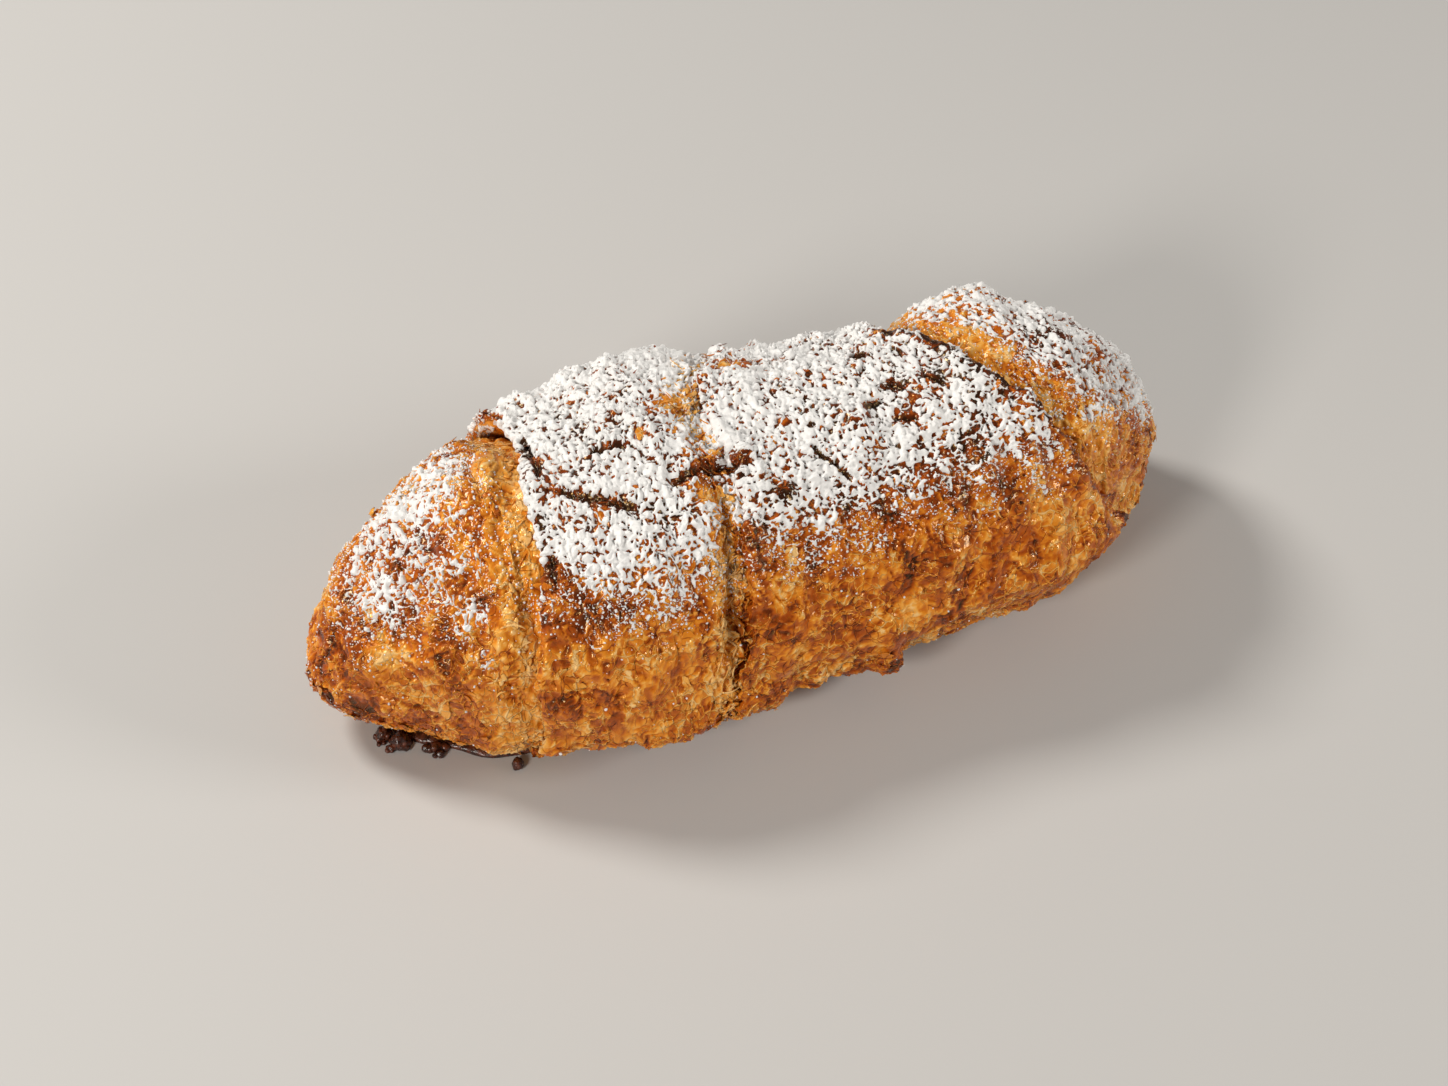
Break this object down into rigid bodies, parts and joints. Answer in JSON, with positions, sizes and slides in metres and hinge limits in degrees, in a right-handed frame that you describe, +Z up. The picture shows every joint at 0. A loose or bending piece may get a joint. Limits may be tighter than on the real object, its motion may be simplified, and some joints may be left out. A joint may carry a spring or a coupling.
{
  "type": "chocolate croissant",
  "caption": "Long baked pastry roll in a wider wrap of dough with a split across it, and set chocolate that ran out under one end.",
  "frame": {"origin": "middle of the bounding box at the base that the pastry rests on", "axes": "+X along the roll towards its blunt, domed end, +Y to the back, +Z up from the base"},
  "size_m": [0.147, 0.0644, 0.0449],
  "materials": {
    "crust": "baked egg-washed flaky crust, dark on top and golden below, dusted with sugar",
    "sugar": "matte icing sugar",
    "chocolate": "set dark chocolate, satin"
  },
  "bodies": {
    "root": {"crust": "crust", "chocolate": "chocolate"}
  },
  "joints": []
}
